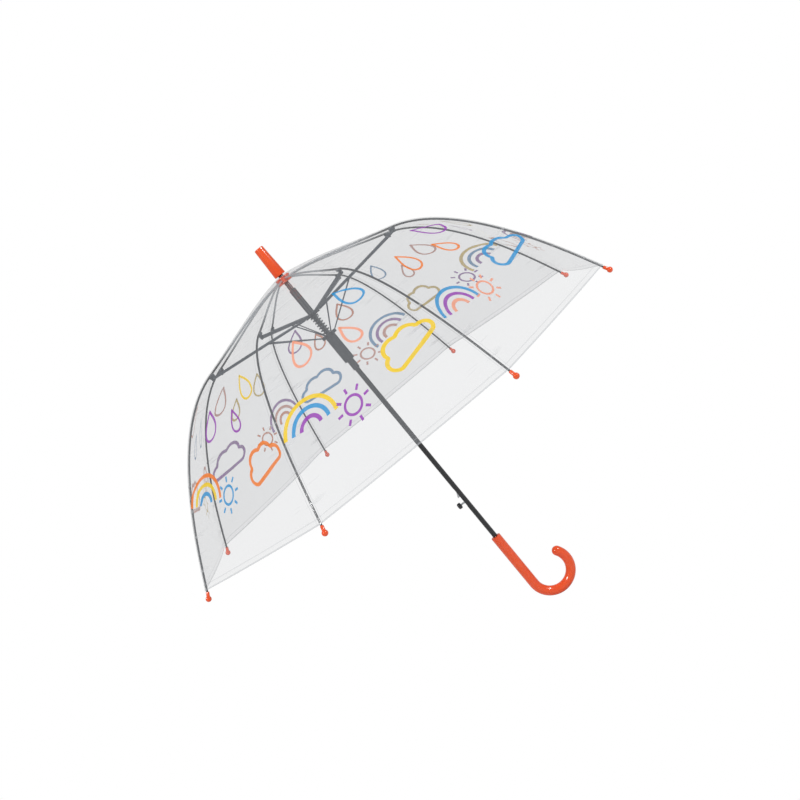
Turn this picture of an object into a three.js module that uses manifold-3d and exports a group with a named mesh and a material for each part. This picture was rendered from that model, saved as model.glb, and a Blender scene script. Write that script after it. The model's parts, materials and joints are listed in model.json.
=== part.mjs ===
// A child's dome umbrella that opens by a push button: a crook handle, a tube shaft, eight ribs that
// hinge on a notched ring under the ferrule, eight channel struts on a sliding hub, eight wire links
// on a runner, an opening spring between the two, and a clear film canopy.
// Millimetres, +Z up to the ferrule. The origin is on the shaft's axis, halfway down the straight
// part of the handle. The hook bends to +X and the push button is on the -X side.
import * as THREE from 'three'
import { mergeVertices } from 'three/addons/utils/BufferGeometryUtils.js'
import Module from 'manifold-3d'

const wasm = await Module()
wasm.setup()

// ---- Driving dimensions ----
const RIB_COUNT = 8
const FIRST_RIB_DEG = 22.5
const RIM_Z = 250 // height of the plane through the rib tips
const RIM_RADIUS = 353 // from the axis to the centre of a tip ball
const RUNNING_GAP = 0.35 // left between pieces that touch or slide

const SHAFT_RADIUS = 3.5
const SHAFT_BORE = 2.9
const SHAFT_BOTTOM = 6
const SHAFT_TOP = 540
const SLOT_BOTTOM = 103 // slot in the tube's wall that the catch comes out of
const SLOT_TOP = 134
const SLOT_WIDTH = 2.8

const HANDLE_RADIUS = 7
const HANDLE_TOP = 45
const HOOK_CENTRE_Z = -42
const HOOK_RADIUS = 29
const HOOK_TURN_DEG = 213

const FERRULE_BASE_RADIUS = 8.25
const FERRULE_TIP_RADIUS = 6.75
const FERRULE_BASE_Z = RIM_Z + 261
const FERRULE_TIP_Z = RIM_Z + 307

const NOTCH_RADIUS = 10.8
const NOTCH_BOTTOM = RIM_Z + 249
const NOTCH_TOP = RIM_Z + 257.8
const RIB_PIVOT = [9, RIM_Z + 253.5] // radius and height of a rib's hinge in the top notch

const RIB_WIRE_RADIUS = 1.3
const RIB_KNEE = [164.4, RIM_Z + 215.2] // where the strut's bracket grips the rib
const UPPER_BOW = [[59, RIM_Z + 248.7], [111.4, RIM_Z + 229]] // curve controls from hinge to knee
const LOWER_BOW = [[261.9, RIM_Z + 189.9], [336.6, RIM_Z + 27.3]] // and from knee to tip

const FILM_THICKNESS = 0.8
const FILM_LIFT = 2.6 // the middle of the film above a rib's centreline
const FILM_START = [6, RIM_Z + 260]
const FILM_TOP_BOW = [[58, RIM_Z + 252.6], [112, RIM_Z + 231.4]]
const FILM_RIM_SHORT = 10 // the film stops this far before the tip ball's centre
const SEAM_GAP = 0.2 // each film section stops this far from its neighbour's edge

const BRACKET_LENGTH = 8
const STRUT_PIVOT_DROP = 5.4 // the strut's outer pivot under the rib's centreline
const STRUT_WIDTH = 4.6
const STRUT_HEIGHT = 3.6
const STRUT_WALL = 0.8
const STRUT_END = 1.8 // metal past the bracket's pivot
const STRUT_WEB_CUT = 7 // the channel's web is cut back this far at the bracket
const STRUT_FOOT_SHORT = 5.5 // the foot's cheeks start this far out, clear of shaft and runner in the fold
const STRUT_FORK = 16 // and the web starts here, clear of the hub's fins
const HUB_PIVOT = [8.6, RIM_Z + 193]
const WIRE_SHARE = 0.44 // how far along the strut the wire link is pinned, from the hub
const WIRE_DROP = 0.3
const WIRE_RADIUS = 0.85
const RUNNER_PIVOT = [9.5, RIM_Z + 157.5]

const FIN_THICKNESS = 1.6
const HUB_FIN_REACH = 3.4 // a hub fin past its pivot, clear of the wire links when shut
const HUB_SLEEVE_RADIUS = 4.9
const HUB_SLEEVE_TOP = RIM_Z + 236
const HUB_FLANGE_BOTTOM = RIM_Z + 187.5
const HUB_FLANGE_RADIUS = 6.2
const SLIDE_BORE = 3.8
const RUNNER_RADIUS = 7.5
const RUNNER_BOTTOM = RIM_Z + 113
const RUNNER_RING_RADIUS = 11.5
const RUNNER_RING_HALF = 2.3
const COLLAR_RADIUS = 4.9
const COLLAR_BOTTOM = RIM_Z + 98

const SPRING_RADIUS = 5.55
const SPRING_WIRE = 0.65
const SPRING_TURNS = 6

const CATCH_PIVOT_Z = 62
const CATCH_THICKNESS = 2
const NOSE_Z = 125
const BUTTON_Z = 110
const BUTTON_RADIUS = 4.4
const BUTTON_INNER_X = -8.8
const BUTTON_OUTER_X = -14.6

const TIP_BALL_RADIUS = 3.8
const TIP_NECK_RADIUS = 2.2
const TIP_LENGTH = 9

// ---- Colours ----
const paint = (color, roughness, metalness) =>
  new THREE.MeshStandardMaterial({ color, roughness, metalness })
const orangePlastic = paint(0xf2561d, 0.3, 0)
const blackPlastic = paint(0x26282b, 0.4, 0)
const darkSteel = paint(0x4a4f57, 0.4, 0.6)
const blackSteel = paint(0x2b2d30, 0.35, 0.4)
const brightSteel = paint(0xb8bbbf, 0.3, 0.9)
const clearFilm = paint(0xe4e8ea, 0.1, 0)
clearFilm.transparent = true
clearFilm.opacity = 0.3

// ---- Shape helpers ----
const umbrella = new THREE.Group()

function closedGeometry(geometry) {
  const bare = geometry.index ? geometry : geometry.clone()
  bare.deleteAttribute('normal')
  bare.deleteAttribute('uv')
  return mergeVertices(bare, 1e-4)
}

function solid(geometry) {
  const merged = closedGeometry(geometry)
  return new wasm.Manifold(new wasm.Mesh({
    numProp: 3,
    vertProperties: new Float32Array(merged.attributes.position.array),
    triVerts: new Uint32Array(merged.index.array),
  }))
}

function fromSolid(body) {
  const mesh = body.getMesh()
  const geometry = new THREE.BufferGeometry()
  geometry.setAttribute('position', new THREE.BufferAttribute(mesh.vertProperties, 3))
  geometry.setIndex(new THREE.BufferAttribute(mesh.triVerts, 1))
  return geometry
}

// A profile of [radius, height] points, turned about Z.
function turned(profile, segments) {
  const points = profile.map(([radius, height]) => new THREE.Vector2(radius, height))
  return new THREE.LatheGeometry(points, segments).rotateX(Math.PI / 2)
}

function ring(inner, outer, bottom, top, segments) {
  const profile = [[inner, bottom], [outer, bottom], [outer, top], [inner, top], [inner, bottom]]
  return turned(profile, segments)
}

function block(x0, x1, y0, y1, z0, z1) {
  return new THREE.BoxGeometry(x1 - x0, y1 - y0, z1 - z0)
    .translate((x0 + x1) / 2, (y0 + y1) / 2, (z0 + z1) / 2)
}

function circleShape(radius, sides) {
  const shape = new THREE.Shape()
  for (let i = 0; i < sides; i++) {
    const angle = (2 * Math.PI * i) / sides
    const method = i ? 'lineTo' : 'moveTo'
    shape[method](radius * Math.cos(angle), radius * Math.sin(angle))
  }
  return shape
}

function polygonShape(points) {
  return new THREE.Shape(points.map(([x, y]) => new THREE.Vector2(x, y)))
}

function rodAlong(path, radius, sides, steps) {
  return new THREE.ExtrudeGeometry(circleShape(radius, sides), { steps, extrudePath: path })
}

function add(name, geometry, material, turnDeg = 0) {
  const mesh = new THREE.Mesh(closedGeometry(geometry), material)
  mesh.name = name
  mesh.rotation.z = THREE.MathUtils.degToRad(turnDeg)
  umbrella.add(mesh)
}

// A copy of each piece stands at each rib; its own geometry lies in the XZ plane, radius along +X.
function addAtRibs(name, makeGeometry, material) {
  for (let k = 0; k < RIB_COUNT; k++) {
    const turn = FIRST_RIB_DEG + (360 / RIB_COUNT) * k
    add(`${name}_${k + 1}`, makeGeometry(), material, turn)
  }
}

const inPlane = ([radius, height]) => new THREE.Vector3(radius, 0, height)

// The part of a curve between two shares of its length.
class Stretch extends THREE.Curve {
  constructor(base, from, to) {
    super()
    Object.assign(this, { base, from, to })
  }

  getPoint(t, target = new THREE.Vector3()) {
    return target.copy(this.base.getPointAt(this.from + (this.to - this.from) * t))
  }
}

// ---- Rib curve, shared by the ribs, brackets, struts, film and tips ----
const upperRib = new THREE.CubicBezierCurve3(
  inPlane(RIB_PIVOT), ...UPPER_BOW.map(inPlane), inPlane(RIB_KNEE))
const lowerRib = new THREE.CubicBezierCurve3(
  inPlane(RIB_KNEE), ...LOWER_BOW.map(inPlane), new THREE.Vector3(RIM_RADIUS, 0, RIM_Z))
const ribCurve = new THREE.CurvePath()
ribCurve.add(upperRib)
ribCurve.add(lowerRib)
const kneeTangent = lowerRib.getTangent(0)
const tipTangent = lowerRib.getTangent(1)
const outwardNormal = (tangent) => new THREE.Vector3(-tangent.z, 0, tangent.x)
const strutTop = inPlane(RIB_KNEE).addScaledVector(outwardNormal(kneeTangent), -STRUT_PIVOT_DROP)
const strutFoot = inPlane(HUB_PIVOT)
const strutDirection = strutTop.clone().sub(strutFoot).normalize()
const strutLength = strutTop.distanceTo(strutFoot)
const wireTop = strutFoot.clone()
  .addScaledVector(strutDirection, WIRE_SHARE * strutLength)
  .addScaledVector(outwardNormal(strutDirection), -WIRE_DROP)

// Turns a piece made along +X, with +Z as its outward side, to a place and tangent in the XZ plane.
function placeAlong(geometry, at, tangent) {
  const basis = new THREE.Matrix4().makeBasis(tangent, new THREE.Vector3(0, 1, 0), outwardNormal(tangent))
  return geometry.applyMatrix4(basis.setPosition(at))
}

// An outline of [y, z] points pushed from x0 to x1 along X.
function pushedAlongX(outline, x0, x1) {
  const geometry = new THREE.ExtrudeGeometry(polygonShape(outline), { depth: x1 - x0, bevelEnabled: false })
  const basis = new THREE.Matrix4().makeBasis(
    new THREE.Vector3(0, 1, 0), new THREE.Vector3(0, 0, 1), new THREE.Vector3(1, 0, 0))
  return geometry.applyMatrix4(basis).translate(x0, 0, 0)
}

// ---- Shaft: a steel tube with a slot for the catch ----
function shaft() {
  const tube = solid(ring(SHAFT_BORE, SHAFT_RADIUS, SHAFT_BOTTOM, SHAFT_TOP, 24))
  const slot = block(-SHAFT_RADIUS - 1, -1, -SLOT_WIDTH / 2, SLOT_WIDTH / 2, SLOT_BOTTOM, SLOT_TOP)
  return fromSolid(tube.subtract(solid(slot)))
}

// ---- Handle: a moulded crook with a round end and a socket for the shaft ----
class Crook extends THREE.Curve {
  getPoint(t, target = new THREE.Vector3()) {
    const straight = HANDLE_TOP - HOOK_CENTRE_Z
    const turn = THREE.MathUtils.degToRad(HOOK_TURN_DEG)
    const along = t * (straight + turn * HOOK_RADIUS)
    if (along <= straight) return target.set(0, 0, HANDLE_TOP - along)
    const angle = Math.PI + (along - straight) / HOOK_RADIUS
    return target.set(
      HOOK_RADIUS * (1 + Math.cos(angle)), 0, HOOK_CENTRE_Z + HOOK_RADIUS * Math.sin(angle))
  }
}

function handle() {
  const path = new Crook()
  const crook = solid(rodAlong(path, HANDLE_RADIUS, 16, 30))
  const end = path.getPoint(1)
  const knob = new THREE.SphereGeometry(HANDLE_RADIUS * 0.995, 16, 10).translate(end.x, end.y, end.z)
  const socketRadius = SHAFT_RADIUS + RUNNING_GAP
  const bottom = SHAFT_BOTTOM - 1
  const top = HANDLE_TOP + 1
  const socket = turned([[0, bottom], [socketRadius, bottom], [socketRadius, top], [0, top]], 24)
  return fromSolid(crook.add(solid(knob)).subtract(solid(socket)))
}

// ---- Ferrule: a tapered plastic cap with a flat end ----
function ferrule() {
  const bore = SHAFT_RADIUS + RUNNING_GAP
  const boreTop = SHAFT_TOP + 1
  const chamfer = 0.6
  return turned([
    [bore, FERRULE_BASE_Z],
    [FERRULE_BASE_RADIUS, FERRULE_BASE_Z],
    [FERRULE_TIP_RADIUS, FERRULE_TIP_Z - chamfer],
    [FERRULE_TIP_RADIUS - chamfer, FERRULE_TIP_Z],
    [0, FERRULE_TIP_Z],
    [0, boreTop],
    [bore, boreTop],
    [bore, FERRULE_BASE_Z],
  ], 28)
}

// A ring with a radial slot at each rib, from slotStart outwards.
function slottedRing(bore, radius, bottom, top, slotStart, slotWidth) {
  let body = solid(ring(bore, radius, bottom, top, 32))
  for (let k = 0; k < RIB_COUNT; k++) {
    const slot = block(slotStart, radius + 1, -slotWidth / 2, slotWidth / 2, bottom - 1, top + 1)
      .rotateZ(THREE.MathUtils.degToRad(FIRST_RIB_DEG + (360 / RIB_COUNT) * k))
    body = body.subtract(solid(slot))
  }
  return body
}

function topNotch() {
  const slotStart = RIB_PIVOT[0] - 1.7
  const slotWidth = 2 * (RIB_WIRE_RADIUS + RUNNING_GAP)
  return fromSolid(slottedRing(
    SHAFT_RADIUS + RUNNING_GAP, NOTCH_RADIUS, NOTCH_BOTTOM, NOTCH_TOP, slotStart, slotWidth))
}

// ---- Strut hub: a long sleeve that slides on the shaft, with a fin for each strut ----
function strutHub() {
  const finHalf = 2.2
  const finEnd = HUB_PIVOT[0] + HUB_FIN_REACH
  const [low, high] = [HUB_PIVOT[1] - finHalf, HUB_PIVOT[1] + finHalf]
  const flangeTop = HUB_FLANGE_BOTTOM + 2.5
  let body = solid(ring(SLIDE_BORE, HUB_SLEEVE_RADIUS, HUB_FLANGE_BOTTOM + 1, HUB_SLEEVE_TOP, 24))
  body = body.add(solid(ring(SLIDE_BORE, HUB_FLANGE_RADIUS, HUB_FLANGE_BOTTOM, flangeTop, 24)))
  for (let k = 0; k < RIB_COUNT; k++) {
    const fin = block(HUB_SLEEVE_RADIUS - 0.6, finEnd, -FIN_THICKNESS / 2, FIN_THICKNESS / 2, low, high)
      .rotateZ(THREE.MathUtils.degToRad(FIRST_RIB_DEG + (360 / RIB_COUNT) * k))
    body = body.add(solid(fin))
  }
  return fromSolid(body)
}

// ---- Runner: a notched ring on a grip body, with a windowed collar that the catch locks ----
function runner() {
  const ringBottom = RUNNER_PIVOT[1] - RUNNER_RING_HALF
  const ringTop = RUNNER_PIVOT[1] + RUNNER_RING_HALF
  const slotStart = RUNNER_PIVOT[0] - 1.3
  const slotWidth = 2 * (WIRE_RADIUS + RUNNING_GAP)
  const grip = solid(ring(SLIDE_BORE, RUNNER_RADIUS, RUNNER_BOTTOM, ringBottom + 0.5, 24))
  const collar = solid(ring(SLIDE_BORE, COLLAR_RADIUS, COLLAR_BOTTOM, RUNNER_BOTTOM + 0.5, 24))
  const window = block(-COLLAR_RADIUS - 1, -1, -1.4, 1.4, COLLAR_BOTTOM + 3, RUNNER_BOTTOM - 1)
  return fromSolid(
    slottedRing(SLIDE_BORE, RUNNER_RING_RADIUS, ringBottom, ringTop, slotStart, slotWidth)
      .add(grip).add(collar).subtract(solid(window)))
}

// ---- Opening spring, pressed between the runner and the hub when the umbrella is shut ----
class Coil extends THREE.Curve {
  getPoint(t, target = new THREE.Vector3()) {
    const low = RUNNER_PIVOT[1] + RUNNER_RING_HALF + SPRING_WIRE + RUNNING_GAP
    const high = HUB_FLANGE_BOTTOM - SPRING_WIRE - RUNNING_GAP
    const angle = 2 * Math.PI * SPRING_TURNS * t
    return target.set(
      SPRING_RADIUS * Math.cos(angle), SPRING_RADIUS * Math.sin(angle), low + (high - low) * t)
  }
}

// ---- Catch: a flat spring in the tube with the nose that locks the runner, and the button's stem ----
function catchLeaf() {
  const back = -1.2
  const front = -1.9
  const stemHalf = 1.2
  const outline = [
    [back, CATCH_PIVOT_Z], [back, NOSE_Z + 8], [front, NOSE_Z + 8],
    [front, NOSE_Z + 6], [-6.2, NOSE_Z - 4], [-6.2, NOSE_Z - 5], [front, NOSE_Z - 5],
    [front, BUTTON_Z + stemHalf], [BUTTON_INNER_X - 1.5, BUTTON_Z + stemHalf],
    [BUTTON_INNER_X - 1.5, BUTTON_Z - stemHalf], [front, BUTTON_Z - stemHalf],
    [front, CATCH_PIVOT_Z],
  ]
  const geometry = new THREE.ExtrudeGeometry(
    polygonShape(outline), { depth: CATCH_THICKNESS, bevelEnabled: false })
  return geometry.translate(0, 0, -CATCH_THICKNESS / 2).rotateX(Math.PI / 2)
}

function pushButton() {
  const round = 0.8
  const length = BUTTON_INNER_X - BUTTON_OUTER_X
  const cap = solid(turned([
    [0, 0], [BUTTON_RADIUS - round, 0], [BUTTON_RADIUS, round], [BUTTON_RADIUS, length - 1.6],
    [BUTTON_RADIUS - 1.2, length - 0.3], [0, length],
  ], 20).rotateY(-Math.PI / 2).translate(BUTTON_INNER_X, 0, BUTTON_Z))
  const half = 1.2 + RUNNING_GAP
  const pocket = block(
    BUTTON_INNER_X - 1.9, BUTTON_INNER_X + 1, -half, half, BUTTON_Z - half, BUTTON_Z + half)
  return fromSolid(cap.subtract(solid(pocket)))
}

// ---- Rib: one bowed round wire from the notch to inside its tip ----
function rib() {
  const endShort = 1.5 / ribCurve.getLength()
  return rodAlong(new Stretch(ribCurve, 0, 1 - endShort), RIB_WIRE_RADIUS, 6, 26)
}

// ---- Bracket: a clip round the underside of the rib, with a fin for the strut's pin ----
function ribBracket() {
  const inner = RIB_WIRE_RADIUS + 0.45
  const outer = inner + 0.9
  const fin = FIN_THICKNESS / 2
  const finBottom = -STRUT_PIVOT_DROP - 1.8
  const outline = [
    [-outer, 0.3], [-outer, -outer], [-fin, -outer], [-fin, finBottom], [fin, finBottom], [fin, -outer],
    [outer, -outer], [outer, 0.3], [inner, 0.3], [inner, -inner], [-inner, -inner], [-inner, 0.3],
  ]
  const clip = pushedAlongX(outline, -BRACKET_LENGTH / 2, BRACKET_LENGTH / 2)
  return placeAlong(clip, inPlane(RIB_KNEE), kneeTangent)
}

// ---- Strut: a folded channel, open underneath, forked at the hub and cut back at the bracket ----
function strut() {
  const half = STRUT_WIDTH / 2
  const inner = half - STRUT_WALL
  const top = STRUT_HEIGHT / 2
  const outline = [
    [-half, -top], [-inner, -top], [-inner, top - STRUT_WALL], [inner, top - STRUT_WALL],
    [inner, -top], [half, -top], [half, top], [-half, top],
  ]
  const end = strutLength + STRUT_END
  let channel = solid(pushedAlongX(outline, STRUT_FOOT_SHORT, end))
  const cuts = [[STRUT_FOOT_SHORT - 1, STRUT_FORK], [strutLength - STRUT_WEB_CUT, end + 1]]
  // A cut leaves two cheeks joined by the rest of the web.
  for (const [from, to] of cuts) {
    channel = channel.subtract(solid(block(from, to, -inner, inner, -top - 1, top + 1)))
  }
  return placeAlong(fromSolid(channel), strutFoot, strutDirection)
}

// ---- Wire link from the runner up into the strut's channel ----
function wireLink() {
  return rodAlong(new THREE.LineCurve3(inPlane(RUNNER_PIVOT), wireTop), WIRE_RADIUS, 8, 1)
}

// ---- Rib tip: a ball on a short sleeve that holds the rib's end ----
function ribTip() {
  const bore = RIB_WIRE_RADIUS + 0.3
  const ballSteps = 6
  const start = Math.asin(TIP_NECK_RADIUS / TIP_BALL_RADIUS)
  const profile = [[bore, -TIP_LENGTH], [TIP_NECK_RADIUS, -TIP_LENGTH]]
  for (let i = 0; i <= ballSteps; i++) {
    const angle = Math.PI - start - ((Math.PI - start) * i) / ballSteps
    profile.push([i === ballSteps ? 0 : TIP_BALL_RADIUS * Math.sin(angle), TIP_BALL_RADIUS * Math.cos(angle)])
  }
  profile.push([0, -0.8], [bore, -0.8], [bore, -TIP_LENGTH])
  const tip = turned(profile, 14).rotateY(Math.PI / 2)
  return placeAlong(tip, new THREE.Vector3(RIM_RADIUS, 0, RIM_Z), tipTangent)
}

// ---- Canopy section: the film from one gore's middle over its rib to the next gore's middle ----
function filmMiddle() {
  const knee = inPlane(RIB_KNEE).addScaledVector(outwardNormal(kneeTangent), FILM_LIFT)
  const top = new THREE.CubicBezierCurve3(
    inPlane(FILM_START), ...FILM_TOP_BOW.map(inPlane), knee)
  const points = []
  for (let i = 0; i < 6; i++) {
    points.push([top.getPoint(i / 6), outwardNormal(top.getTangent(i / 6))])
  }
  const steps = 13
  const rimShare = 1 - FILM_RIM_SHORT / lowerRib.getLength()
  for (let i = 0; i <= steps; i++) {
    const share = (rimShare * i) / steps
    const normal = outwardNormal(lowerRib.getTangentAt(share))
    points.push([lowerRib.getPointAt(share).addScaledVector(normal, FILM_LIFT), normal])
  }
  return points
}

function canopySection() {
  const half = FILM_THICKNESS / 2
  const side = (sign) => filmMiddle().map(([at, normal]) => at.clone().addScaledVector(normal, sign * half))
  const outline = [...side(1), ...side(-1).reverse()].map((point) => [point.x, point.z])
  const geometry = new THREE.ExtrudeGeometry(
    polygonShape(outline), { depth: 2, steps: 2, bevelEnabled: false })
  // The flat profile's two outer faces swing onto the planes through the middles of the two gores.
  const halfGore = Math.PI / RIB_COUNT
  const positions = geometry.attributes.position
  for (let i = 0; i < positions.count; i++) {
    const side = 1 - positions.getZ(i)
    const apothem = positions.getX(i) * Math.cos(halfGore)
    const radius = positions.getX(i) + (apothem * Math.cos(halfGore) - positions.getX(i)) * Math.abs(side)
    const across = side * (apothem * Math.sin(halfGore) - SEAM_GAP)
    positions.setXYZ(i, radius, across, positions.getY(i))
  }
  return geometry
}

// ---- Assembly ----
add('shaft', shaft(), blackSteel)
add('handle', handle(), orangePlastic)
add('ferrule', ferrule(), orangePlastic)
add('top_notch', topNotch(), darkSteel)
add('strut_hub', strutHub(), blackPlastic)
add('opening_spring', rodAlong(new Coil(), SPRING_WIRE, 5, 66), darkSteel)
add('runner', runner(), blackPlastic)
add('catch_leaf', catchLeaf(), brightSteel)
add('push_button', pushButton(), blackPlastic)
addAtRibs('rib', rib, blackSteel)
addAtRibs('rib_bracket', ribBracket, darkSteel)
addAtRibs('strut', strut, darkSteel)
addAtRibs('wire_link', wireLink, darkSteel)
addAtRibs('rib_tip', ribTip, orangePlastic)
addAtRibs('canopy_section', canopySection, clearFilm)

export default umbrella
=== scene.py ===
import json
import math

import bmesh
import bpy
import numpy as np
from mathutils import Matrix, Vector


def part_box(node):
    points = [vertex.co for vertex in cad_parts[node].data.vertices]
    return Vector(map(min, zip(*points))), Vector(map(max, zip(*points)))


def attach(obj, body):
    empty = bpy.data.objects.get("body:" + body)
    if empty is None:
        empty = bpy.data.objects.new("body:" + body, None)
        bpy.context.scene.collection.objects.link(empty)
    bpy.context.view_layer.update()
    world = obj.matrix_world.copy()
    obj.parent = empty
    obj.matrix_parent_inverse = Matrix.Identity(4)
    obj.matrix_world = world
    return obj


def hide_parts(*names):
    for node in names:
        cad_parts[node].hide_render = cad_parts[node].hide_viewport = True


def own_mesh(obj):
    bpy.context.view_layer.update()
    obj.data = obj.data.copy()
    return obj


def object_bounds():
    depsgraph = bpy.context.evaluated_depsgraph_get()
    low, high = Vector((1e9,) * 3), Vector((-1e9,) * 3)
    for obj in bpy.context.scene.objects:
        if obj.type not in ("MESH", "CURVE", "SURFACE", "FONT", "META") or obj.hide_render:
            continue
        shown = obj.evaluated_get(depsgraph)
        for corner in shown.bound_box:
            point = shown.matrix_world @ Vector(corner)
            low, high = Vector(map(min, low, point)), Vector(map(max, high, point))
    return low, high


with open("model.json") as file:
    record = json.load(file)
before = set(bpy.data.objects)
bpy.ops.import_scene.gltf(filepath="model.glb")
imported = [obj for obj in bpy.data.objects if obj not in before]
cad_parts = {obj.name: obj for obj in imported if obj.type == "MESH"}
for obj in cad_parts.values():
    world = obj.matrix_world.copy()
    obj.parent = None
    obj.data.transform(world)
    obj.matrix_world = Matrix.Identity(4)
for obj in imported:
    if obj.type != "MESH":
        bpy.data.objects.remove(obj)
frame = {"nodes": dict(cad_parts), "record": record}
cad_low, cad_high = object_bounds()

# ---- Camera, light and floor ----
# The umbrella is held level with the eye and the view is rolled, so that it leans over to the left.
# A white room and floor give the flat, shadowless light of a catalogue studio.
RIM_HEIGHT = (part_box("rib_tip_1")[0][2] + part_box("rib_tip_1")[1][2]) / 2 - 0.0025
CAMERA_FROM_RIM = Vector((0.0302, -1.5668, 0.1880))
CAMERA_AIM = Vector((-0.0078, 0.9947, -0.1022))
CAMERA_ROLL = math.radians(39.45)
LENS_MM = 51.7
SENSOR_MM = 36.0


def aimed(aim, roll):
    """A turn that looks along aim, with the top of the view rolled about it."""
    level = aim.cross(Vector((0, 0, 1))).normalized()
    upright = level.cross(aim).normalized()
    turn = Matrix((level, upright, -aim.normalized())).transposed()
    return turn @ Matrix.Rotation(roll, 3, "Z")


lens = bpy.data.cameras.new("camera")
lens.lens = LENS_MM
lens.sensor_width = SENSOR_MM
camera = bpy.data.objects.new("camera", lens)
camera.matrix_world = Matrix.Translation(Vector((0, 0, RIM_HEIGHT)) + CAMERA_FROM_RIM) @ aimed(
    CAMERA_AIM, -CAMERA_ROLL
).to_4x4()
bpy.context.scene.collection.objects.link(camera)
bpy.context.scene.camera = camera
bpy.context.scene.view_settings.view_transform = "Standard"


def linear(hex_colour):
    """An sRGB hex colour as linear RGBA."""
    parts = [int(hex_colour[i : i + 2], 16) / 255 for i in (1, 3, 5)]
    return tuple(c / 12.92 if c <= 0.04045 else ((c + 0.055) / 1.055) ** 2.4 for c in parts) + (1.0,)


def add_node(tree, kind, inputs=None, **settings):
    """Adds a node. inputs maps a socket's name or number to a value, or to an output to link."""
    made = tree.nodes.new(kind)
    for key, value in settings.items():
        setattr(made, key, value)
    for key, value in (inputs or {}).items():
        if isinstance(value, bpy.types.NodeSocket):
            tree.links.new(value, made.inputs[key])
        else:
            made.inputs[key].default_value = value
    return made


# The room looks white, and lights the umbrella with less than it shows, so dark parts stay dark.
ROOM_LIGHT = 0.42
world = bpy.data.worlds.new("white_room")
world.use_nodes = True
room = world.node_tree.nodes["Background"]
room.inputs["Color"].default_value = (1, 1, 1, 1)
seen = add_node(world.node_tree, "ShaderNodeLightPath").outputs["Is Camera Ray"]
strength = add_node(
    world.node_tree, "ShaderNodeMapRange", {"Value": seen, "To Min": ROOM_LIGHT, "To Max": 1.0}
)
world.node_tree.links.new(strength.outputs["Result"], room.inputs["Strength"])
bpy.context.scene.world = world


def softbox(name, place, target, size, watts, glints=False):
    """A square lamp aimed at a target. Only one with glints shows in the umbrella's reflections."""
    lamp = bpy.data.lights.new(name, "AREA")
    lamp.shape = "SQUARE"
    lamp.size = size
    lamp.energy = watts
    holder = bpy.data.objects.new(name, lamp)
    holder.location = place
    holder.rotation_euler = (Vector(target) - Vector(place)).to_track_quat("-Z", "Y").to_euler()
    holder.visible_glossy = glints
    bpy.context.scene.collection.objects.link(holder)


softbox("key_softbox", (-1.2, -1.5, 1.6), (0, 0, 0.3), 0.45, 24, glints=True)
softbox("side_softbox", (1.7, -0.9, 1.1), (0, 0, 0.2), 0.35, 16, glints=True)
softbox("back_softbox", (0.5, 1.7, 1.5), (0, 0, 0.3), 0.6, 12)

floor_mesh = bpy.data.meshes.new("floor")
FLOOR_HALF = 30.0
FLOOR_DROP = 0.002
floor_signs = ((-1, -1), (1, -1), (1, 1), (-1, 1))
corners = [(x * FLOOR_HALF, y * FLOOR_HALF, cad_low.z - FLOOR_DROP) for x, y in floor_signs]
floor_mesh.from_pydata(corners, [], [(0, 1, 2, 3)])
floor = bpy.data.objects.new("floor", floor_mesh)
bpy.context.scene.collection.objects.link(floor)
paper = bpy.data.materials.new("matt white studio floor")
paper.use_nodes = True
paper_shader = paper.node_tree.nodes["Principled BSDF"]
paper_shader.inputs["Base Color"].default_value = linear("#D8D8D8")
paper_shader.inputs["Roughness"].default_value = 0.9
paper_shader.inputs["Specular IOR Level"].default_value = 0.0
paper_glow = add_node(paper.node_tree, "ShaderNodeEmission", {"Color": (1, 1, 1, 1), "Strength": 1.0})
paper_seen = add_node(paper.node_tree, "ShaderNodeLightPath").outputs["Is Camera Ray"]
paper_mix = add_node(
    paper.node_tree,
    "ShaderNodeMixShader",
    {0: paper_seen, 1: paper_shader.outputs[0], 2: paper_glow.outputs[0]},
)
paper.node_tree.links.new(paper_mix.outputs[0], paper.node_tree.nodes["Material Output"].inputs["Surface"])
floor_mesh.materials.append(paper)

# ---- Shaft ----
# A drawn steel tube with a baked black enamel, smooth with a soft sheen. The catch comes out of a
# slot in its wall.


def start_material(name):
    """A new material with one Principled shader."""
    material = bpy.data.materials.new(name)
    material.use_nodes = True
    return material, material.node_tree, material.node_tree.nodes["Principled BSDF"]


def mottled(tree, low_colour, high_colour, size_mm):
    """A colour that wanders between two over patches of a size."""
    place = add_node(tree, "ShaderNodeTexCoord")
    noise = add_node(
        tree,
        "ShaderNodeTexNoise",
        {"Vector": place.outputs["Object"], "Scale": 1000 / size_mm, "Detail": 3.0},
    )
    blend = {0: noise.outputs["Fac"], 6: linear(low_colour), 7: linear(high_colour)}
    return add_node(tree, "ShaderNodeMix", blend, data_type="RGBA").outputs[2]


def grain(tree, shader, size_mm, depth_mm, low_rough, high_rough):
    """Fine surface grain: a bump of a real size and depth, and a roughness that follows it."""
    place = add_node(tree, "ShaderNodeTexCoord")
    noise = add_node(
        tree,
        "ShaderNodeTexNoise",
        {"Vector": place.outputs["Object"], "Scale": 1000 / size_mm, "Detail": 4.0},
    )
    bump = add_node(tree, "ShaderNodeBump", {"Height": noise.outputs["Fac"], "Distance": depth_mm / 1000})
    rough = add_node(
        tree, "ShaderNodeMapRange", {"Value": noise.outputs["Fac"], "To Min": low_rough, "To Max": high_rough}
    )
    tree.links.new(bump.outputs["Normal"], shader.inputs["Normal"])
    tree.links.new(rough.outputs["Result"], shader.inputs["Roughness"])


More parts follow.
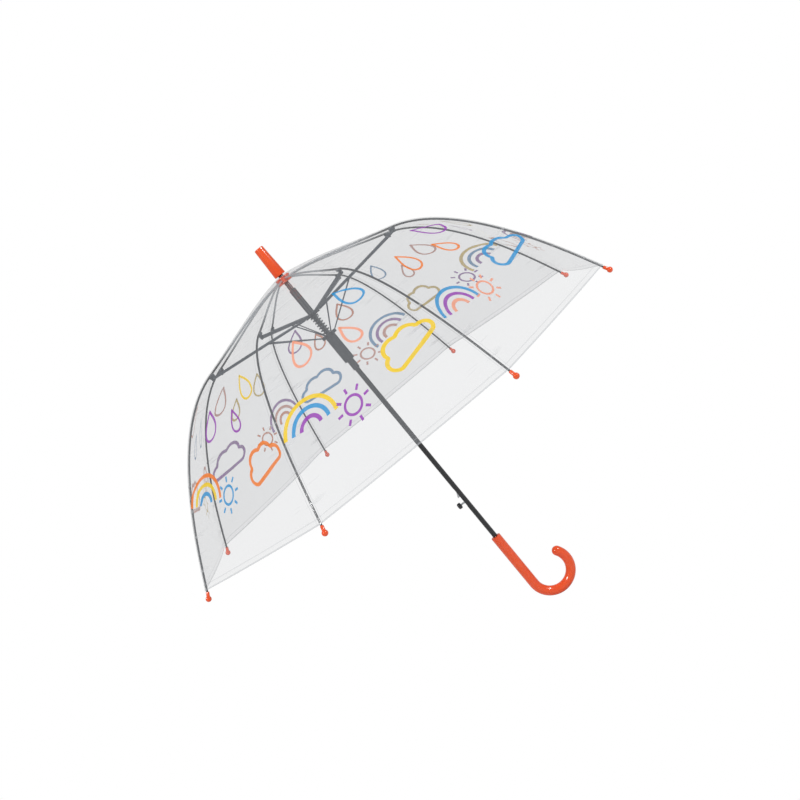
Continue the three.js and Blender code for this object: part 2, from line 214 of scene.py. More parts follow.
def enamel(name, dark, light):
    """Baked enamel on steel, with a faint orange peel that softens its highlights."""
    material, tree, shader = start_material(name)
    tree.links.new(mottled(tree, dark, light, size_mm=14), shader.inputs["Base Color"])
    grain(tree, shader, size_mm=2.2, depth_mm=0.03, low_rough=0.22, high_rough=0.38)
    shader.inputs["IOR"].default_value = 1.5
    shader.inputs["Coat Weight"].default_value = 0.35
    shader.inputs["Coat Roughness"].default_value = 0.15
    return material


body_of_node = {n: b for b, nodes in frame["record"]["behaviour"]["bodies"].items() for n in nodes}
SHARP_ANGLE = math.radians(38)


def finish_mesh(mesh, material, close=True):
    """Outward faces, smooth but for its sharp edges, in one material."""
    work = bmesh.new()
    work.from_mesh(mesh)
    bmesh.ops.remove_doubles(work, verts=work.verts, dist=1e-6)
    if close:
        bmesh.ops.recalc_face_normals(work, faces=work.faces)
    work.to_mesh(mesh)
    work.free()
    mesh.polygons.foreach_set("use_smooth", [True] * len(mesh.polygons))
    mesh.set_sharp_from_angle(angle=SHARP_ANGLE)
    mesh.materials.clear()
    mesh.materials.append(material)


def stand_for(mesh, name, node):
    """An object for a finished mesh that stands for a CAD node and rides on its body."""
    piece = bpy.data.objects.new(name, mesh)
    bpy.context.scene.collection.objects.link(piece)
    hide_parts(node)
    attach(piece, body_of_node[node])
    return piece


def applied(piece):
    """The mesh of an object with its modifiers applied. The object is deleted."""
    bpy.context.view_layer.update()
    evaluated = piece.evaluated_get(bpy.context.evaluated_depsgraph_get())
    mesh = bpy.data.meshes.new_from_object(evaluated)
    bpy.data.objects.remove(piece)
    return mesh


def eased_copy(node, name, material, edge_mm):
    """The CAD node's shape as one merged skin, with every edge eased by a small bevel."""
    mesh = frame["nodes"][node].data.copy()
    work = bmesh.new()
    work.from_mesh(mesh)
    bmesh.ops.remove_doubles(work, verts=work.verts, dist=1e-6)
    bmesh.ops.dissolve_limit(work, angle_limit=math.radians(1), verts=work.verts, edges=work.edges)
    bmesh.ops.recalc_face_normals(work, faces=work.faces)
    work.to_mesh(mesh)
    work.free()
    rough = bpy.data.objects.new("rough_copy", mesh)
    bpy.context.scene.collection.objects.link(rough)
    bevel = rough.modifiers.new("eased_edges", "BEVEL")
    bevel.width = edge_mm / 1000
    bevel.segments = 2
    bevel.limit_method = "ANGLE"
    bevel.angle_limit = math.radians(32)
    finished = applied(rough)
    finish_mesh(finished, material)
    return stand_for(finished, name, node)


tube_enamel = enamel("baked black enamel on drawn steel tube", "#17181A", "#242629")
eased_copy("shaft", "shaft_tube", tube_enamel, edge_mm=0.15)

# ---- Crook handle ----
# One injection moulding in glossy orange ABS: a straight grip, a hook of a little over half a turn
# and a round end. It is pushed over the shaft's foot.
HANDLE_RADIUS = 0.007
HOOK_RADIUS = 0.029
HOOK_TURN = math.radians(213)
HOOK_CENTRE_Z = -0.042
handle_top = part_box("handle")[1][2]


def gloss_plastic(name, dark, light):
    """Glossy ABS off a polished mould: saturated, with a clear sharp highlight and faint flow marks."""
    material, tree, shader = start_material(name)
    tree.links.new(mottled(tree, dark, light, size_mm=30), shader.inputs["Base Color"])
    grain(tree, shader, size_mm=5, depth_mm=0.02, low_rough=0.16, high_rough=0.26)
    shader.inputs["IOR"].default_value = 1.53
    shader.inputs["Subsurface Weight"].default_value = 0.06
    shader.inputs["Subsurface Scale"].default_value = 0.004
    shader.inputs["Coat Weight"].default_value = 0.5
    shader.inputs["Coat Roughness"].default_value = 0.06
    return material


def sweep_tree():
    """Geometry Nodes: a round bar along a line of points, each with its own share of the radius."""
    tree = bpy.data.node_groups.new("round_bar", "GeometryNodeTree")
    face = tree.interface
    face.new_socket("Line", in_out="INPUT", socket_type="NodeSocketGeometry")
    face.new_socket("Radius", in_out="INPUT", socket_type="NodeSocketFloat")
    face.new_socket("Sides", in_out="INPUT", socket_type="NodeSocketInt")
    face.new_socket("Finish", in_out="INPUT", socket_type="NodeSocketMaterial")
    face.new_socket("Bar", in_out="OUTPUT", socket_type="NodeSocketGeometry")
    given = add_node(tree, "NodeGroupInput").outputs
    line = add_node(tree, "GeometryNodeMeshToCurve", {"Mesh": given["Line"]})
    share = add_node(tree, "GeometryNodeInputNamedAttribute", {"Name": "girth"}, data_type="FLOAT")
    sized = add_node(
        tree,
        "GeometryNodeSetCurveRadius",
        {"Curve": line.outputs["Curve"], "Radius": share.outputs["Attribute"]},
    )
    circle = add_node(
        tree,
        "GeometryNodeCurvePrimitiveCircle",
        {"Resolution": given["Sides"], "Radius": given["Radius"]},
    )
    ends = {"Curve": sized.outputs["Curve"], "Profile Curve": circle.outputs["Curve"], "Fill Caps": True}
    skin = add_node(tree, "GeometryNodeCurveToMesh", ends)
    if "Scale" in skin.inputs:
        radius = add_node(tree, "GeometryNodeInputRadius")
        tree.links.new(radius.outputs["Radius"], skin.inputs["Scale"])
    real = add_node(tree, "GeometryNodeRealizeInstances", {"Geometry": skin.outputs["Mesh"]})
    painted = add_node(
        tree, "GeometryNodeSetMaterial", {"Geometry": real.outputs["Geometry"], "Material": given["Finish"]}
    )
    add_node(tree, "NodeGroupOutput", {"Bar": painted.outputs["Geometry"]})
    return tree


round_bar = sweep_tree()


def bar_mesh(points, radius, sides, material, girth=None):
    """A round bar through points, made by the round_bar tree."""
    line = bpy.data.meshes.new("line")
    line.from_pydata([tuple(p) for p in points], [(i, i + 1) for i in range(len(points) - 1)], [])
    share = line.attributes.new("girth", "FLOAT", "POINT")
    share.data.foreach_set("value", np.ones(len(points)) if girth is None else girth)
    rough = bpy.data.objects.new("rough_bar", line)
    bpy.context.scene.collection.objects.link(rough)
    sweep = rough.modifiers.new("sweep", "NODES")
    sweep.node_group = round_bar
    identifiers = {s.name: s.identifier for s in round_bar.interface.items_tree if s.in_out == "INPUT"}
    sweep[identifiers["Radius"]] = radius
    sweep[identifiers["Sides"]] = sides
    sweep[identifiers["Finish"]] = material
    mesh = applied(rough)
    finish_mesh(mesh, material)
    return mesh


orange_abs = gloss_plastic("glossy orange ABS, injection moulded", "#F04A10", "#F75C1C")
straight = handle_top - HOOK_CENTRE_Z
crook_length = straight + HOOK_TURN * HOOK_RADIUS
END_STEPS = 10
GRIP_STEPS = 8
HOOK_STEPS = 48
HANDLE_SIDES = 40
MOUTH_ROUND = 0.0006
MOUTH_GIRTH = 0.93
GRIP_START = 0.002
round_end = crook_length + HANDLE_RADIUS * np.sin(np.linspace(0, math.pi / 2, END_STEPS + 1))[1:-1]
stations = np.concatenate(
    [
        [0.0, MOUTH_ROUND],
        np.linspace(GRIP_START, straight, GRIP_STEPS),
        np.linspace(straight, crook_length, HOOK_STEPS)[1:],
        round_end,
    ]
)
turn = np.clip((stations - straight) / HOOK_RADIUS, 0, HOOK_TURN)
past = np.clip(stations - crook_length, 0, None)
crook = np.stack(
    [
        HOOK_RADIUS * (1 - np.cos(turn)) + past * np.sin(turn),
        np.zeros_like(turn),
        np.where(stations < straight, handle_top - stations, HOOK_CENTRE_Z - HOOK_RADIUS * np.sin(turn))
        - past * np.cos(turn),
    ],
    axis=1,
)
crook_girth = np.sqrt(np.clip(1 - (past / HANDLE_RADIUS) ** 2, 0.0009, 1))
crook_girth[0] = MOUTH_GIRTH
handle_mesh = bar_mesh(crook, HANDLE_RADIUS, HANDLE_SIDES, orange_abs, crook_girth)
stand_for(handle_mesh, "crook_handle", "handle")

# ---- Ferrule ----
# A tapered cap of the same orange ABS, turned flat at its end, that is pressed over the shaft's top
# and clamps the film to the top notch.
FERRULE_BASE_RADIUS = 0.00825
FERRULE_TIP_RADIUS = 0.00675
ferrule_low, ferrule_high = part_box("ferrule")


def turned_mesh(profile, sides, material):
    """A profile of (radius, height) turned about Z. A profile that starts and ends at radius 0 is closed."""
    angles = np.linspace(0, 2 * math.pi, sides, endpoint=False)
    points = [(r * math.cos(a), r * math.sin(a), z) for r, z in profile for a in angles]
    faces = []
    for row in range(len(profile) - 1):
        for i in range(sides):
            j = (i + 1) % sides
            faces.append((row * sides + i, row * sides + j, (row + 1) * sides + j, (row + 1) * sides + i))
    mesh = bpy.data.meshes.new("turned")
    mesh.from_pydata(points, [], faces)
    work = bmesh.new()
    work.from_mesh(mesh)
    bmesh.ops.remove_doubles(work, verts=work.verts, dist=1e-7)
    bmesh.ops.dissolve_degenerate(work, dist=1e-7, edges=work.edges)
    work.to_mesh(mesh)
    work.free()
    finish_mesh(mesh, material)
    return mesh


def quarter(centre_radius, centre_height, radius, start_deg, end_deg, steps=5):
    """Points of a small rounding arc in a turned profile."""
    angles = np.radians(np.linspace(start_deg, end_deg, steps + 1))
    return [(centre_radius + radius * math.cos(a), centre_height + radius * math.sin(a)) for a in angles]


FERRULE_ROUND = 0.0012
FERRULE_BASE_ROUND = 0.0005
FERRULE_SIDES = 48
ferrule_profile = [(0, ferrule_low[2])]
ferrule_profile += quarter(
    FERRULE_BASE_RADIUS - FERRULE_BASE_ROUND,
    ferrule_low[2] + FERRULE_BASE_ROUND,
    FERRULE_BASE_ROUND,
    -90,
    0,
)
ferrule_profile += quarter(
    FERRULE_TIP_RADIUS - FERRULE_ROUND, ferrule_high[2] - FERRULE_ROUND, FERRULE_ROUND, 0, 90
)
ferrule_profile.append((0, ferrule_high[2]))
stand_for(turned_mesh(ferrule_profile, FERRULE_SIDES, orange_abs), "ferrule_cap", "ferrule")

# ---- Top notch, strut hub and runner ----
# The notch is moulded in the ferrule's orange. The hub and runner slide on the shaft, and are
# glass-filled nylon in charcoal with a fine satin texture. Their slots and fins carry the pins.


def moulded_nylon(name, dark, light):
    """Satin moulded nylon: dull, with an even grain that spreads its highlights."""
    material, tree, shader = start_material(name)
    tree.links.new(mottled(tree, dark, light, size_mm=9), shader.inputs["Base Color"])
    grain(tree, shader, size_mm=0.9, depth_mm=0.05, low_rough=0.4, high_rough=0.55)
    shader.inputs["IOR"].default_value = 1.53
    return material


charcoal_nylon = moulded_nylon("charcoal glass-filled nylon, spark-eroded mould", "#24272C", "#31353B")
eased_copy("top_notch", "top_notch_ring", orange_abs, edge_mm=0.25)
eased_copy("strut_hub", "strut_hub_sleeve", charcoal_nylon, edge_mm=0.2)
eased_copy("runner", "runner_sleeve", charcoal_nylon, edge_mm=0.25)

# ---- Opening spring ----
# A compression coil of hard-drawn steel wire on the shaft, between the runner and the hub. It is
# squeezed short as the umbrella shuts, so it flattens towards the runner.
SPRING_RADIUS = 0.00555
SPRING_WIRE = 0.00065
SPRING_SIDES = 10
SPRING_TURNS = 6
POINTS_A_TURN = 28


def drawn_wire(name, dark, light, rough):
    """Hard-drawn steel wire: metallic, with fine streaks that blur its highlight."""
    material, tree, shader = start_material(name)
    tree.links.new(mottled(tree, dark, light, size_mm=6), shader.inputs["Base Color"])
    grain(
        tree, shader, size_mm=0.7, depth_mm=0.02, low_rough=rough - 0.08, high_rough=rough + 0.08
    )
    shader.inputs["Metallic"].default_value = 0.9
    return material


dark_wire = drawn_wire("hard-drawn steel wire, phosphated dark", "#4A4E55", "#63676E", 0.38)
spring_low, spring_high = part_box("opening_spring")
turns = np.linspace(0, 2 * math.pi * SPRING_TURNS, SPRING_TURNS * POINTS_A_TURN + 1)
coil = np.stack(
    [
        SPRING_RADIUS * np.cos(turns),
        SPRING_RADIUS * np.sin(turns),
        np.linspace(spring_low[2] + SPRING_WIRE, spring_high[2] - SPRING_WIRE, len(turns)),
    ],
    axis=1,
)
coil_mesh = bar_mesh(coil, SPRING_WIRE, SPRING_SIDES, dark_wire)
spring = stand_for(coil_mesh, "opening_spring_coil", "opening_spring")
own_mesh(spring)

# ---- Catch and push button ----
# A nickel-plated spring leaf inside the tube carries the nose that locks the runner and the stem of
# the button, whose cap is glossy black ABS.
bright_leaf = drawn_wire("nickel-plated spring steel strip", "#B9BCC0", "#CDD0D3", 0.25)
black_abs = gloss_plastic("glossy black ABS, injection moulded", "#121314", "#1B1C1E")
eased_copy("catch_leaf", "catch_spring_leaf", bright_leaf, edge_mm=0.15)
eased_copy("push_button", "push_button_cap", black_abs, edge_mm=0.35)

# ---- Ribs ----
# Eight round spring-steel wires in black enamel, each bowed from its hinge in the top notch, over
# the strut's bracket, and down to its tip.
RIB_COUNT = 8
FIRST_RIB = math.radians(22.5)
RIB_RADIUS = 0.0013
RIB_SIDES = 14
HINGE = (0.009, 0.2535)
KNEE = (0.1644, 0.2152)
RIB_TIP = (0.353, 0.0)
UPPER_BOW = ((0.059, 0.2487), (0.1114, 0.2290))
LOWER_BOW = ((0.2619, 0.1899), (0.3366, 0.0273))
RIB_STEPS = 40
# The ribs' painted glare: pale within this radius, fading to black beyond the next.
PALE_WITHIN = 0.105
BLACK_BEYOND = 0.150


def bow(start, first, second, end, steps):
    """Points along a cubic curve in the rib's plane, as (radius, height over the rim's plane)."""
    t = np.linspace(0, 1, steps + 1)[:, None]
    start, first, second, end = (np.array(p, float) for p in (start, first, second, end))
    return (1 - t) ** 3 * start + 3 * (1 - t) ** 2 * t * first + 3 * (1 - t) * t * t * second + t**3 * end


def around(k, radius, across, height):
    """Points at rib k, from its own plane's radius, distance across it and height over the rim."""
    angle = FIRST_RIB + 2 * math.pi * (k - 1) / RIB_COUNT
    x = radius * math.cos(angle) - across * math.sin(angle)
    y = radius * math.sin(angle) + across * math.cos(angle)
    return np.stack([x, y, height + RIM_HEIGHT + 0 * x], axis=-1)


def rib_material():
    """Black enamel, painted pale between the strut's bracket and the top notch: painted glare, where the
    film's glare washes the ribs out.
    """
    material = enamel("black enamel on spring steel wire, painted glare at the top", "#1A1B1D", "#282A2D")
    tree = material.node_tree
    shader = tree.nodes["Principled BSDF"]
    black = shader.inputs["Base Color"].links[0].from_socket
    place = add_node(tree, "ShaderNodeTexCoord")
    flat = add_node(tree, "ShaderNodeMapping", {"Vector": place.outputs["Object"], "Scale": (1.0, 1.0, 0.0)})
    reach = add_node(tree, "ShaderNodeVectorMath", {0: flat.outputs["Vector"]}, operation="LENGTH")
    painted_glare_fade = add_node(
        tree,
        "ShaderNodeMapRange",
        {"Value": reach.outputs["Value"], "From Min": PALE_WITHIN, "From Max": BLACK_BEYOND},
    )
    # Painted glare: pale towards the top notch, black further out.
    colour = add_node(
        tree, "ShaderNodeMix", {0: painted_glare_fade.outputs["Result"], 6: linear("#B4B8BC"), 7: black}, data_type="RGBA"
    )
    tree.links.new(colour.outputs[2], shader.inputs["Base Color"])
    return material


rib_enamel = rib_material()
rib_line = np.concatenate(
    [bow(HINGE, *UPPER_BOW, KNEE, RIB_STEPS)[:-1], bow(KNEE, *LOWER_BOW, RIB_TIP, RIB_STEPS)[:-1]]
)
for k in range(1, RIB_COUNT + 1):
    rib_points = around(k, rib_line[:, 0], 0 * rib_line[:, 0], rib_line[:, 1])
    mesh = bar_mesh(rib_points, RIB_RADIUS, RIB_SIDES, rib_enamel)
    stand_for(mesh, f"rib_wire_{k}", f"rib_{k}")

# ---- Brackets, struts and wire links ----
# Each strut is a channel folded from enamelled steel strip, pinned to a pressed bracket on its rib.
# A bent wire link joins it to the runner.
strut_enamel = enamel("charcoal enamel on folded steel strip", "#3A4047", "#4B525B")
for k in range(1, RIB_COUNT + 1):
    eased_copy(f"rib_bracket_{k}", f"bracket_clip_{k}", strut_enamel, edge_mm=0.15)
    eased_copy(f"strut_{k}", f"strut_channel_{k}", strut_enamel, edge_mm=0.15)
    eased_copy(f"wire_link_{k}", f"link_wire_{k}", dark_wire, edge_mm=0.2)

# ---- Rib tips ----
# Orange ABS balls on short necks, pushed over the ends of the ribs. The film's corners are sewn to
# their necks.
TIP_BALL = 0.0038
TIP_NECK = 0.0022
TIP_LENGTH = 0.009
TIP_ROUND = 0.0003
TIP_SIDES = 28
BALL_STEPS = 16
neck_angle = -math.degrees(math.acos(TIP_NECK / TIP_BALL))
tip_profile = [(0, -TIP_LENGTH)]
tip_profile += quarter(TIP_NECK - TIP_ROUND, -TIP_LENGTH + TIP_ROUND, TIP_ROUND, -90, 0, 3)
tip_profile += quarter(0, 0, TIP_BALL, neck_angle, 90, BALL_STEPS)[:-1] + [(0, TIP_BALL)]
tip_fall = np.array(RIB_TIP) - np.array(LOWER_BOW[1])
tip_fall /= np.linalg.norm(tip_fall)
for k in range(1, RIB_COUNT + 1):
    angle = FIRST_RIB + 2 * math.pi * (k - 1) / RIB_COUNT
    outward = Vector((math.cos(angle), math.sin(angle), 0))
    along = outward * tip_fall[0] + Vector((0, 0, tip_fall[1]))
    side = Vector((0, 0, 1)).cross(outward)
    mesh = turned_mesh(tip_profile, TIP_SIDES, orange_abs)
    place = Matrix((side.cross(along), side, along)).transposed().to_4x4()
    place.translation = outward * RIB_TIP[0] + Vector((0, 0, RIM_HEIGHT))
    mesh.transform(place)
    finish_mesh(mesh, orange_abs)
    stand_for(mesh, f"tip_ball_{k}", f"rib_tip_{k}")

# ---- Canopy film ----
# Clear film, cut in gores and welded along the ribs. Each section runs from the middle of one gore
# over its rib to the middle of the next, and gathers towards its rib as the umbrella shuts.
HALF_GORE = math.pi / RIB_COUNT
FILM_LIFT = 0.0026
FILM_START = (0.006, 0.260)
FILM_TOP_BOW = ((0.058, 0.2526), (0.112, 0.2314))
FILM_RIM_SHORT = 0.010
GORE_SAG = 0.003
PUCKER_DEPTH = 0.0011
PUCKER_REACH = 0.045
PUCKER_LENGTHS = (0.031, 0.019, 0.011)
PUCKER_FULL_RADIUS = 0.15
PUCKER_SEED = 8
SLOPE_STEP = 0.0005
ROWS = 120
COLUMNS = 18
COLUMN_CROWDING = 1.25


def normals_of(line):
    """Outward unit normals of a line in the rib's plane."""
    tangent = np.gradient(line, axis=0)
    tangent /= np.linalg.norm(tangent, axis=1)[:, None]
    return np.stack([-tangent[:, 1], tangent[:, 0]], axis=1)


lower = bow(KNEE, *LOWER_BOW, RIB_TIP, 400)
lower_film = lower + FILM_LIFT * normals_of(lower)
upper_film = bow(FILM_START, *FILM_TOP_BOW, lower_film[0], 200)
film_line = np.concatenate([upper_film[:-1], lower_film])
film_steps = np.concatenate([[0], np.cumsum(np.linalg.norm(np.diff(film_line, axis=0), axis=1))])
film_length = film_steps[-1] - FILM_RIM_SHORT
pucker_phases = np.random.default_rng(PUCKER_SEED).uniform(
    0, 2 * math.pi, (RIB_COUNT + 1, 2, len(PUCKER_LENGTHS))
)


def on_film(k, across, from_rim, lift=0.0):
    """Points on section k of the film, from the distance across its rib and up from the rim."""
    along = film_length - from_rim
    radius = np.interp(along, film_steps, film_line[:, 0])
    height = np.interp(along, film_steps, film_line[:, 1])
    ahead, behind = along + SLOPE_STEP, along - SLOPE_STEP
    run, rise = (
        np.interp(ahead, film_steps, film_line[:, i]) - np.interp(behind, film_steps, film_line[:, i])
        for i in (0, 1)
    )
    slope = np.arctan2(-rise, run)
    share = np.clip(np.abs(across) / (radius * math.sin(HALF_GORE)), 0, 1)
    side = np.sign(across)
    # Each half gore is straight across, from its rib to the gore's middle.
    inward = radius * math.sin(HALF_GORE) ** 2 * share
    sideways = side * radius * math.sin(HALF_GORE) * math.cos(HALF_GORE) * share
    turn_in = HALF_GORE * side
    normal_out = np.sin(slope) * np.cos(turn_in)
    normal_side = np.sin(slope) * np.sin(turn_in)
    normal_up = np.cos(slope)
    phases = pucker_phases[k, (side > 0).astype(int)]
    waves = sum(
        np.sin(2 * math.pi * from_rim / length + phases[..., i]) / (i + 1)
        for i, length in enumerate(PUCKER_LENGTHS)
    )
    reach = np.abs(across) / PUCKER_REACH
    pucker = PUCKER_DEPTH * waves * np.clip(reach, 0, 1) * np.clip(1 - reach, 0, 1) * 2
    pucker = pucker * np.clip((1 - share) * 4, 0, 1) * np.clip(radius / PUCKER_FULL_RADIUS, 0, 1)
    sag = -GORE_SAG * (1 - (1 - share) ** 2) * np.clip(radius / RIB_TIP[0], 0, 1)
    push = lift + sag + pucker
    return around(
        k,
        radius - inward + push * normal_out,
        sideways + push * normal_side,
        height + push * normal_up,
    )


FILM_BODY = 0.25
# Each line's place, half width and strength: the hem's edge, the hem's weld and the seam by a rib.
HEM_EDGE = (0.0010, 0.0010, 0.30)
HEM_WELD = (0.0075, 0.0007, 0.16)
RIB_SEAM = (0.0045, 0.0006, 0.16)
CREASES_PER_METRE = (14.0, 95.0, 1.0)
# Where the crease noise becomes a painted glint, and how white the glint gets.
CREASE_FROM, CREASE_FULL, CREASE_GLINT = 0.60, 0.74, 0.45
CREASE_NEAR, CREASE_FAR = 0.004, 0.040
CREASE_DEPTH = 0.0012


def film_material():
    """Clear PE film: nearly invisible, with a faint grey body, a pale welded hem, seams at the ribs and
    painted glints on the creases by the ribs.
    """
    material, tree, shader = start_material("clear soft film, calendered")
    shader.inputs["Roughness"].default_value = 0.14
    shader.inputs["IOR"].default_value = 1.5
    shader.inputs["Coat Weight"].default_value = 0.3
    shader.inputs["Coat Roughness"].default_value = 0.05
    place = add_node(tree, "ShaderNodeUVMap", uv_map="cut")
    parts = add_node(tree, "ShaderNodeSeparateXYZ", {0: place.outputs["UV"]})
    centred = add_node(tree, "ShaderNodeMath", {0: parts.outputs["X"], 1: 0.5}, operation="SUBTRACT")
    from_rib = add_node(tree, "ShaderNodeMath", {0: centred.outputs[0]}, operation="ABSOLUTE").outputs[0]
    from_rim = parts.outputs["Y"]
    total = FILM_BODY
    lines = ((from_rim, HEM_EDGE), (from_rim, HEM_WELD), (from_rib, RIB_SEAM))
    for distance, (where, half_width, strength) in lines:
        band = {0: distance, 1: where, 2: half_width}
        on_line = add_node(tree, "ShaderNodeMath", band, operation="COMPARE")
        added = {0: on_line.outputs[0], 1: strength, 2: total}
        total = add_node(tree, "ShaderNodeMath", added, operation="MULTIPLY_ADD").outputs[0]
    # Painted glints: white streaks on the creases that run out from the ribs, where the weld has shortened
    # the film.
    stretched = add_node(
        tree, "ShaderNodeMapping", {"Vector": place.outputs["UV"], "Scale": CREASES_PER_METRE}
    )
    noise = add_node(
        tree, "ShaderNodeTexNoise", {"Vector": stretched.outputs["Vector"], "Scale": 1.0, "Detail": 3.0}
    )
    creased = noise.outputs["Fac"]
    crease = add_node(
        tree,
        "ShaderNodeMapRange",
        {"Value": creased, "From Min": CREASE_FROM, "From Max": CREASE_FULL, "To Max": CREASE_GLINT},
    )
    near_rib = add_node(
        tree,
        "ShaderNodeMapRange",
        {"Value": from_rib, "From Min": CREASE_NEAR, "From Max": CREASE_FAR, "To Min": 1.0, "To Max": 0.0},
    )
    # The painted glint near the ribs: it thickens the film and whitens its colour.
    whitened = {0: crease.outputs[0], 1: near_rib.outputs[0]}
    white = add_node(tree, "ShaderNodeMath", whitened, operation="MULTIPLY")
    cover = {0: total, 1: white.outputs[0]}
    alpha = add_node(tree, "ShaderNodeMath", cover, operation="ADD", use_clamp=True)
    tree.links.new(alpha.outputs[0], shader.inputs["Alpha"])
    # The film's grey, turned white where the glints are painted.
    colours = {0: white.outputs[0], 6: linear("#B4B7BB"), 7: linear("#FFFFFF")}
    tint = add_node(tree, "ShaderNodeMix", colours, data_type="RGBA")
    tree.links.new(tint.outputs[2], shader.inputs["Base Color"])
    bump = add_node(
        tree, "ShaderNodeBump", {"Height": creased, "Distance": CREASE_DEPTH, "Strength": 0.6}
    )
    tree.links.new(bump.outputs["Normal"], shader.inputs["Normal"])
    return material


clear_film = film_material()


def film_mesh(k):
    """The film of one section as a grid, with its distances across and from the rim as its UV map."""
    share = np.linspace(-1, 1, 2 * COLUMNS + 1)
    share = np.sign(share) * np.abs(share) ** COLUMN_CROWDING
    up = film_length * np.linspace(0, 1, ROWS + 1)
    radius = np.interp(film_length - up, film_steps, film_line[:, 0])
    across = share[None, :] * radius[:, None] * math.sin(HALF_GORE)
    from_rim = np.repeat(up[:, None], len(share), axis=1)
    points = on_film(k, across.ravel(), from_rim.ravel())
    width = len(share)
    faces = [
        (r * width + c, r * width + c + 1, (r + 1) * width + c + 1, (r + 1) * width + c)
        for r in range(ROWS)
        for c in range(width - 1)
    ]
    mesh = bpy.data.meshes.new(f"film_{k}")
    mesh.from_pydata(points.tolist(), [], faces)
    cut = mesh.uv_layers.new(name="cut")
    corner_points = np.zeros(len(mesh.loops), int)
    mesh.loops.foreach_get("vertex_index", corner_points)
    cut_places = np.stack([across.ravel() + 0.5, from_rim.ravel()], axis=1)[corner_points]
    cut.data.foreach_set("uv", cut_places.ravel())
    mesh.polygons.foreach_set("use_smooth", [True] * len(mesh.polygons))
    mesh.materials.append(clear_film)
    return mesh


# ---- Print ----
# Screen-printed ink lines on the film: open raindrops over a band of clouds, suns and rainbows, in
# five colours. Each line is a thin flat ribbon that lies on the film's outer face.
INK_LIFT = 0.00015
DROP_LINE = 0.0032
BAND_LINE = 0.0050
INK_PATCH_MM = 6.25
INKS = (
    ("orange", "#F4801F"),
    ("yellow", "#F3CE1B"),
    ("blue", "#2B97D3"),
    ("purple", "#9A3DB4"),
    ("salmon", "#F3A184"),
)


def ink_material(colour, value):
    """Screen ink: opaque and slightly satin, a little uneven where the squeegee passed."""
    material, tree, shader = start_material(f"screen ink, {colour}")
    place = add_node(tree, "ShaderNodeTexCoord")
    noise = add_node(
        tree,
        "ShaderNodeTexNoise",
        {"Vector": place.outputs["Object"], "Scale": 1000 / INK_PATCH_MM, "Detail": 2.0},
    )
    cover = add_node(
        tree, "ShaderNodeMapRange", {"Value": noise.outputs["Fac"], "To Min": 0.80, "To Max": 1.0}
    )
    tree.links.new(cover.outputs[0], shader.inputs["Alpha"])
    shader.inputs["Base Color"].default_value = linear(value)
    shader.inputs["Roughness"].default_value = 0.35
    return material


inks = [ink_material(colour, value) for colour, value in INKS]


DROP_FULLNESS = 1.3
DROP_POINT = 1.4


def drop_line(width, height):
    """A raindrop's outline, its point upwards."""
    t = np.linspace(0, 2 * math.pi, 41)
    across = width / 2 * DROP_FULLNESS * np.sin(t) * np.sin(t / 2) ** DROP_POINT
    return np.stack([across, height / 2 * np.cos(t)], axis=1)


# Four round puffs, each given by its middle and radius, over a flat base.
PUFFS = ((-0.62, -0.12, 0.36), (-0.24, 0.26, 0.44), (0.28, 0.20, 0.42), (0.66, -0.14, 0.34))
CLOUD_BASE = 0.44
CLOUD_BASE_HALF = 0.66
CLOUD_TALLNESS = 1.3


def cloud_line(width, height):
    """A cloud's outline, as how far out it reaches at each angle from its middle."""
    t = np.linspace(0, 2 * math.pi, 121)
    reach = np.zeros(len(t))
    for x, y, radius in PUFFS:
        along = x * np.cos(t) + y * np.sin(t)
        inside = np.maximum(along**2 - x * x - y * y + radius * radius, 0)
        reach = np.maximum(reach, np.where(inside > 0, along + np.sqrt(inside), 0))
    down = np.maximum(-np.sin(t), 1e-3)
    to_side = CLOUD_BASE_HALF / np.maximum(np.abs(np.cos(t)), 1e-3)
    middle = np.where(np.sin(t) < 0, np.minimum(CLOUD_BASE / down, to_side), 0)
    reach = np.minimum(np.maximum(reach, middle), CLOUD_BASE / down)
    return np.stack(
        [width / 2 * reach * np.cos(t), height / 2 * CLOUD_TALLNESS * reach * np.sin(t)], axis=1
    )


def arc_line(radius, start, end, steps=25):
    """Points of an arc about the motif's middle."""
    t = np.linspace(start, end, steps)
    return np.stack([radius * np.cos(t), radius * np.sin(t)], axis=1)


# A motif's strokes are its lines, each with its width and how many inks on from the motif's own.
def drop_strokes(width, height):
    return [(drop_line(width, height), DROP_LINE, 0)]


def cloud_strokes(width, height):
    return [(cloud_line(width, height), BAND_LINE, 0)]


RAINBOW_STEPS_HIGH = 3.2
RAINBOW_SHORT = 0.05
SUN_RING = 0.24
SUN_RAY_FROM = 0.35
SUN_RAY_TO = 0.5


def rainbow_strokes(width, height):
    """Three arches, one inside the other, each in its own ink."""
    step = height / RAINBOW_STEPS_HIGH
    return [
        (arc_line(width / 2 - n * step, RAINBOW_SHORT, math.pi - RAINBOW_SHORT), BAND_LINE, n)
        for n in range(3)
    ]


def sun_strokes(width, height):
    """A ring with eight short rays."""
    strokes = [(arc_line(width * SUN_RING, 0, 2 * math.pi, 33), DROP_LINE, 0)]
    for turn in np.arange(8) * math.pi / 4:
        ray = np.array([math.cos(turn), math.sin(turn)])
        reach = np.linspace(width * SUN_RAY_FROM, height * SUN_RAY_TO, 4)
        strokes.append((reach[:, None] * ray, DROP_LINE, 0))
    return strokes


def ribbon(line, width):
    """The two edges of a line of a width."""
    tangent = np.gradient(line, axis=0)
    if np.linalg.norm(line[0] - line[-1]) < 1e-6:
        tangent[0] = tangent[-1] = tangent[0] + tangent[-1]
    tangent /= np.linalg.norm(tangent, axis=1)[:, None] + 1e-12
    side = np.stack([-tangent[:, 1], tangent[:, 0]], axis=1) * width / 2
    return line + side, line - side


PRINT_SEED = 40
TILT_SPREAD = 0.15
HEIGHT_SPREAD = 0.006


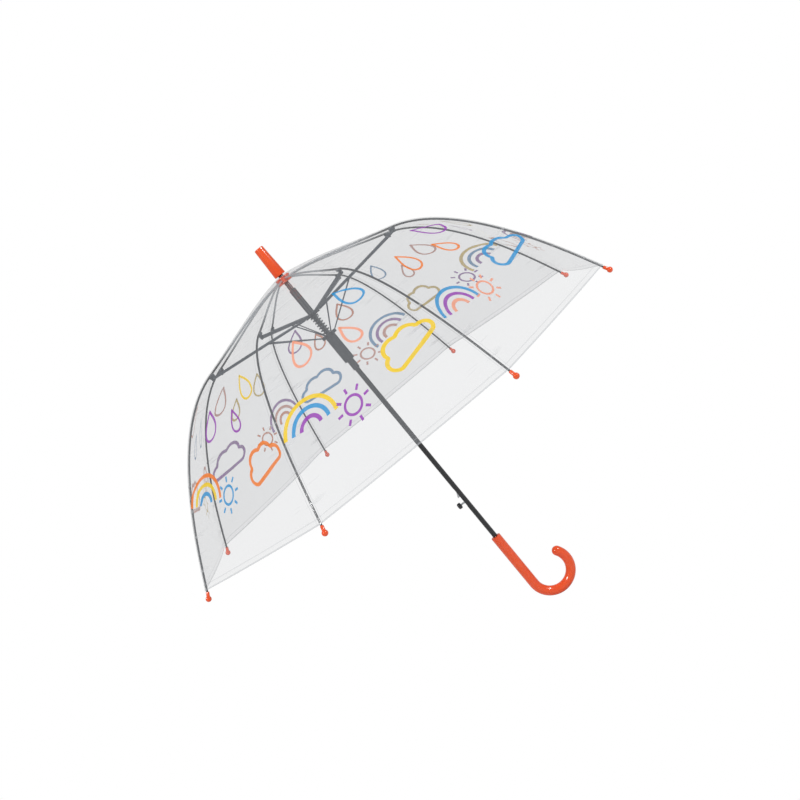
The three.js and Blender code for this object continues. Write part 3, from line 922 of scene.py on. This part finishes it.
def print_mesh(k):
    """Every printed line of one section, with one material slot for each ink."""
    drop = (drop_strokes, 0.026, 0.042)
    small_drop = (drop_strokes, 0.020, 0.032)
    cloud = (cloud_strokes, 0.074, 0.048)
    rainbow = (rainbow_strokes, 0.070, 0.035)
    sun = (sun_strokes, 0.046, 0.046)
    # Each motif's place across its half gore, as a share of it, its height over the rim and its tilt.
    left_half = ((drop, 0.42, 0.214, 0.2), (small_drop, 0.76, 0.172, 0.1), (cloud, 0.42, 0.106, 0.1))
    right_half = ((drop, 0.62, 0.190, 0.2), (rainbow, 0.34, 0.096, -0.1), (sun, 0.80, 0.088, 0.0))
    draw = np.random.default_rng(PRINT_SEED + k)
    points, faces, colours = [], [], []
    for side, layout in ((-1, left_half), (1, right_half)):
        for order, ((strokes, width, height), place, up, tilt) in enumerate(layout):
            tilt = tilt + draw.uniform(-TILT_SPREAD, TILT_SPREAD)
            turn = np.array([[math.cos(tilt), math.sin(tilt)], [-math.sin(tilt), math.cos(tilt)]])
            up = up + draw.uniform(-HEIGHT_SPREAD, HEIGHT_SPREAD)
            radius = np.interp(film_length - up, film_steps, film_line[:, 0])
            middle = side * place * radius * math.sin(HALF_GORE)
            for line, line_width, ink_step in strokes(width, height):
                left, right = ribbon(line @ turn, line_width)
                start = len(points)
                for edge in (left, right):
                    points += on_film(k, middle + edge[:, 0], up + edge[:, 1], INK_LIFT).tolist()
                count = len(line)
                for i in range(count - 1):
                    faces.append((start + i, start + count + i, start + count + i + 1, start + i + 1))
                ink = (order * 2 + (side > 0) * 3 + k + ink_step) % len(inks)
                colours += [ink] * (count - 1)
    mesh = bpy.data.meshes.new(f"print_{k}")
    mesh.from_pydata(points, [], faces)
    for ink in inks:
        mesh.materials.append(ink)
    mesh.polygons.foreach_set("material_index", colours)
    mesh.polygons.foreach_set("use_smooth", [True] * len(faces))
    return mesh


for k in range(1, RIB_COUNT + 1):
    angle = FIRST_RIB + 2 * math.pi * (k - 1) / RIB_COUNT
    film = stand_for(film_mesh(k), f"film_section_{k}", f"canopy_section_{k}")
    printed = bpy.data.objects.new(f"film_print_{k}", print_mesh(k))
    bpy.context.scene.collection.objects.link(printed)
    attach(printed, f"rib_{k}")
    for piece in (film, printed):
        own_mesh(piece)
